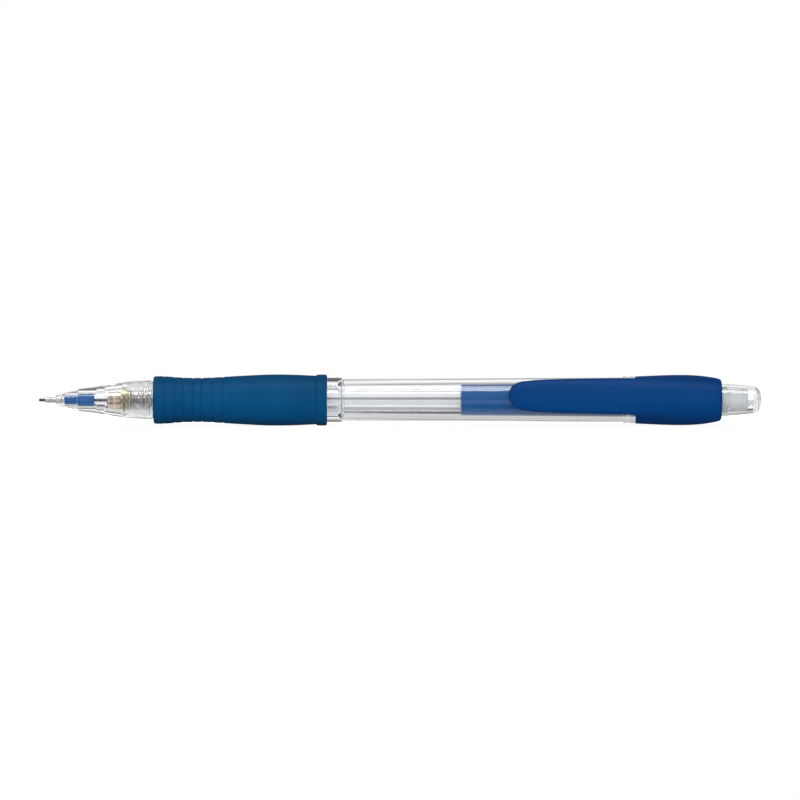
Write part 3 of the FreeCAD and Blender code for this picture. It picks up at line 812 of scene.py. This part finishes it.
def worn(x, r, th):
    """A moulded eraser is never quite round: a slight squeeze that grows to its free end."""
    k = np.clip((x - (EX0 + 7.2)) / 4.0, 0, 1)
    return r * (1 - 0.012 * k * (1 + np.cos(2 * th + 0.6)) / 2)


put(lathe("eraser_stick", rounded([
    (EX0, 0), (EX0, 2.22, 0.12), (EX0 + 3, 2.22, 0), (EX0 + 7, 2.22, 0), (EX0 + 9, 2.22, 0), (EX1 - 0.8, 2.22, 0),
    (EX1, 2.20, 0.62), (EX1 + 0.0, 0)], 0.05, 8), 160, bump=worn),
    "eraser_plug", "eraser", M_ERASER, "eraser")

KX0, KX1 = lo("button_cap")[0], hi("button_cap")[0]
k0 = KX0 - 131.50
cap_out = smooth_run([(k0 + 136.07, 3.19), (k0 + 137.72, 3.07), (k0 + 139.48, 2.93), (k0 + 141.08, 2.76), (k0 + 141.88, 2.60),
                      (k0 + 142.42, 2.36), (k0 + 142.76, 2.02), (k0 + 142.98, 1.45), (k0 + 143.12, 0.75), (KX1, 0.0)], 6)
cap_in = smooth_run([(k0 + 142.32, 0.0), (k0 + 142.30, 0.8), (k0 + 142.22, 1.45), (k0 + 142.02, 1.86), (k0 + 141.62, 2.14), (k0 + 140.72, 2.30)], 6)
cap_out = [(x, max(r, 0)) for x, r in cap_out]
cap_in = [(x, max(r, 0)) for x, r in cap_in]
cap_line = rounded(
    [(KX0, 2.62, 0.06), (KX0, 3.20, 0.10), (k0 + 135.98, 3.20, 0.05)] + cap_out + cap_in
    + [(k0 + 136.72, 2.47, 0.05), (k0 + 136.62, 2.62, 0.04)], 0.04, 5)
put(lathe("button_shell", cap_line, 224), "cap", "clear_plastic", M_CLEARCAP, "button_cap")

# ---------------------------------------------------------------------------
# floor, light, camera
# ---------------------------------------------------------------------------
MIDX = (cad_lo.x + cad_hi.x) / 2
MID = Vector((MIDX, 0, 0))
bm = bmesh.new()
bmesh.ops.create_grid(bm, x_segments=1, y_segments=1, size=4.0)
me = bpy.data.meshes.new("floor")
bm.to_mesh(me)
bm.free()
floor = bpy.data.objects.new("floor", me)
floor.location = (MIDX, 0, cad_lo.z - 0.00002)
bpy.context.scene.collection.objects.link(floor)
fm, nt, fbs = new_mat("pale_paper")
lpn = nt.nodes.new("ShaderNodeLightPath")
paper = ramp(nt, noise(nt, coord(nt), 3.0, 2.0), [(0.3, (0.955, 0.955, 0.96)), (0.7, (0.965, 0.965, 0.97))])
fgeo = nt.nodes.new("ShaderNodeNewGeometry")
fxyz = nt.nodes.new("ShaderNodeSeparateXYZ")
nt.links.new(fgeo.outputs["Position"], fxyz.inputs[0])
fab = nt.nodes.new("ShaderNodeMath")
fab.operation = "ABSOLUTE"
nt.links.new(fxyz.outputs["Y"], fab.inputs[0])
fmr = nt.nodes.new("ShaderNodeMapRange")
fmr.inputs["From Max"].default_value = 0.3
nt.links.new(fab.outputs[0], fmr.inputs["Value"])
# the floor's painted glow tone, with its band of painted shadow near the pencil
seen = ramp(nt, fmr.outputs[0], [(p, (t, t, t)) for p, t in FLOOR_GLOW_PAINTED_SHADE])


def pick(tree, fac, a, b):
    m = tree.nodes.new("ShaderNodeMix")
    m.data_type = "RGBA"
    tree.links.new(fac, m.inputs[0])
    for k, v in ((6, a), (7, b)):
        if isinstance(v, float):
            m.inputs[k].default_value = (v, v, v, 1)
        else:
            tree.links.new(v, m.inputs[k])
    return m.outputs[2]


def mirrored(tree, path):
    """1 for rays that come off a glossy surface without going through it."""
    m = tree.nodes.new("ShaderNodeMath")
    m.operation = "SUBTRACT"
    m.use_clamp = True
    tree.links.new(path.outputs["Is Glossy Ray"], m.inputs[0])
    tree.links.new(path.outputs["Is Transmission Ray"], m.inputs[1])
    return m.outputs[0]


def oblique(tree, x):
    """0 for rays square to the pencil, rising to 1 for rays that run partly along it."""
    a = tree.nodes.new("ShaderNodeMath")
    a.operation = "ABSOLUTE"
    tree.links.new(x, a.inputs[0])
    m = tree.nodes.new("ShaderNodeMapRange")
    m.interpolation_type = "SMOOTHSTEP"
    m.inputs["From Min"].default_value = 0.12
    m.inputs["From Max"].default_value = 0.38
    tree.links.new(a.outputs[0], m.inputs["Value"])
    return m.outputs[0]


fside = nt.nodes.new("ShaderNodeMath")
fside.operation = "LESS_THAN"
fside.inputs[1].default_value = -0.012
nt.links.new(fxyz.outputs["Y"], fside.inputs[0])
seen = pick(nt, fside.outputs[0], seen, FLOOR_FRONT)
finc = nt.nodes.new("ShaderNodeSeparateXYZ")
nt.links.new(fgeo.outputs["Incoming"], finc.inputs[0])
seen = pick(nt, oblique(nt, finc.outputs["X"]), seen, FLOOR_OBLIQUE)
# rays that come off glossy parts see the floor at a painted reflection tone
seen = pick(nt, mirrored(nt, lpn), seen, FLOOR_GLOSSY)
nt.links.new(pick(nt, lpn.outputs["Is Diffuse Ray"], paper, FLOOR_DIFFUSE), fbs.inputs["Base Color"])
fbs.inputs["Roughness"].default_value = 0.9
fbs.inputs["Specular IOR Level"].default_value = 0.0
# paper for the camera: lit near the object, glowing white further off
fem = nt.nodes.new("ShaderNodeEmission")
fem.inputs[0].default_value = (1, 1, 1, 1)
fem.inputs[1].default_value = FLOOR_WHITE
fdist = nt.nodes.new("ShaderNodeVectorMath")
fdist.operation = "DISTANCE"
fdist.inputs[1].default_value = (MIDX, 0, floor.location.z)
nt.links.new(fgeo.outputs["Position"], fdist.inputs[0])
ffar = nt.nodes.new("ShaderNodeMapRange")
ffar.interpolation_type = "SMOOTHSTEP"
ffar.inputs["From Min"].default_value = 0.09
ffar.inputs["From Max"].default_value = 0.20
ffar.inputs["To Min"].default_value = FLOOR_NEAR
nt.links.new(fdist.outputs["Value"], ffar.inputs["Value"])
fcam = nt.nodes.new("ShaderNodeMixShader")
nt.links.new(ffar.outputs[0], fcam.inputs[0])
nt.links.new(fbs.outputs[0], fcam.inputs[1])
nt.links.new(fem.outputs[0], fcam.inputs[2])
# a plain glow for rays that come through or off the clear parts
fglow = nt.nodes.new("ShaderNodeEmission")
nt.links.new(seen, fglow.inputs[0])
fother = nt.nodes.new("ShaderNodeMixShader")
nt.links.new(lpn.outputs["Is Diffuse Ray"], fother.inputs[0])
nt.links.new(fglow.outputs[0], fother.inputs[1])
nt.links.new(fbs.outputs[0], fother.inputs[2])
fsh = nt.nodes.new("ShaderNodeMixShader")
nt.links.new(lpn.outputs["Is Camera Ray"], fsh.inputs[0])
nt.links.new(fother.outputs[0], fsh.inputs[1])
nt.links.new(fcam.outputs[0], fsh.inputs[2])
fout = [n for n in nt.nodes if n.type == "OUTPUT_MATERIAL"][0]
nt.links.new(fsh.outputs[0], fout.inputs[0])
floor.data.materials.append(fm)

world = bpy.data.worlds.new("studio")
bpy.context.scene.world = world
world.use_nodes = True
wt = world.node_tree
wt.nodes.clear()
wo = wt.nodes.new("ShaderNodeOutputWorld")
tc = wt.nodes.new("ShaderNodeTexCoord")
sx = wt.nodes.new("ShaderNodeSeparateXYZ")
wt.links.new(tc.outputs["Generated"], sx.inputs[0])
asin = wt.nodes.new("ShaderNodeMath")
asin.operation = "ARCSINE"
wt.links.new(sx.outputs["Z"], asin.inputs[0])
norm = wt.nodes.new("ShaderNodeMapRange")
norm.inputs["From Min"].default_value = -math.pi / 2
norm.inputs["From Max"].default_value = math.pi / 2
wt.links.new(asin.outputs[0], norm.inputs["Value"])


def wramp(name, stops):
    r = wt.nodes.new("ShaderNodeValToRGB")
    r.name = name
    e = r.color_ramp.elements
    while len(e) < len(stops):
        e.new(0.5)
    for el, (deg, val) in zip(e, stops):
        el.position = (deg + 90) / 180.0
        el.color = (val, val, val * 1.01, 1)
    wt.links.new(norm.outputs[0], r.inputs[0])
    return r.outputs[0]


side = wt.nodes.new("ShaderNodeMapRange")
side.interpolation_type = "SMOOTHSTEP"
side.inputs["From Min"].default_value = -0.25
side.inputs["From Max"].default_value = 0.25
wt.links.new(sx.outputs["Y"], side.inputs["Value"])
through = pick(wt, side.outputs[0], wramp("through_front", THROUGH_FRONT), wramp("through_back", THROUGH_BACK))
through = pick(wt, oblique(wt, sx.outputs["X"]), through, wramp("through_oblique", THROUGH_OBLIQUE))
mirror = pick(wt, side.outputs[0], wramp("mirror_front", MIRROR_FRONT), wramp("mirror_back", MIRROR_BACK))
lp = wt.nodes.new("ShaderNodeLightPath")
cam_bg = wt.nodes.new("ShaderNodeBackground")
cam_bg.inputs[0].default_value = (1, 1, 1, 1)
cam_bg.inputs[1].default_value = 1.0
env_bg = wt.nodes.new("ShaderNodeBackground")
env_bg.inputs[1].default_value = 1.0
sky = pick(wt, mirrored(wt, lp), through, mirror)
sky = pick(wt, lp.outputs["Is Diffuse Ray"], sky, SKY_DIFFUSE)
wt.links.new(sky, env_bg.inputs[0])
mixs = wt.nodes.new("ShaderNodeMixShader")
wt.links.new(lp.outputs["Is Camera Ray"], mixs.inputs[0])
wt.links.new(env_bg.outputs[0], mixs.inputs[1])
wt.links.new(cam_bg.outputs[0], mixs.inputs[2])
wt.links.new(mixs.outputs[0], wo.inputs[0])


def area(name, loc, size, size_y, power, target=MID, glossy=True):
    d = bpy.data.lights.new(name, "AREA")
    d.shape = "RECTANGLE"
    d.size, d.size_y = size, size_y
    d.energy = power
    ob = bpy.data.objects.new(name, d)
    ob.location = loc
    ob.rotation_euler = (Vector(target) - Vector(loc)).to_track_quat("-Z", "Y").to_euler()
    ob.visible_camera = False
    if not glossy:
        ob.visible_glossy = False
        ob.visible_transmission = False
    bpy.context.scene.collection.objects.link(ob)
    return ob


strip = area("overhead_strip", (MIDX, -0.21, 0.61), 1.2, 0.20, KEY_POWER)
strip.visible_diffuse = False
area("overhead_soft", (MIDX, -0.21, 0.61), 1.2, 0.20, SOFT_POWER, glossy=False)
area("front_fill", (MIDX, -1.1, 0.55), 1.4, 0.8, FILL_POWER, glossy=False)
area("low_fill", (MIDX, -0.9, 0.06), 1.4, 0.10, LOW_POWER, glossy=False)
area("back_fill", (MIDX, 1.1, 0.55), 1.4, 0.8, BACK_POWER, glossy=False)

cam = bpy.data.cameras.new("camera")
cam.sensor_width = 36.0
cam.lens = 270.0
cam.clip_end = 20.0
cam_ob = bpy.data.objects.new("camera", cam)
cam_ob.location = (MIDX, -1.2, 0.0)
cam_ob.rotation_euler = (math.radians(90), 0, 0)
bpy.context.scene.collection.objects.link(cam_ob)
bpy.context.scene.camera = cam_ob

sc = bpy.context.scene
sc.view_settings.view_transform = "Standard"
sc.view_settings.look = "None"
sc.cycles.use_denoising = True
sc.cycles.max_bounces = 24
sc.cycles.transmission_bounces = 24
sc.cycles.glossy_bounces = 10
sc.cycles.transparent_max_bounces = 16

bpy.context.view_layer.update()
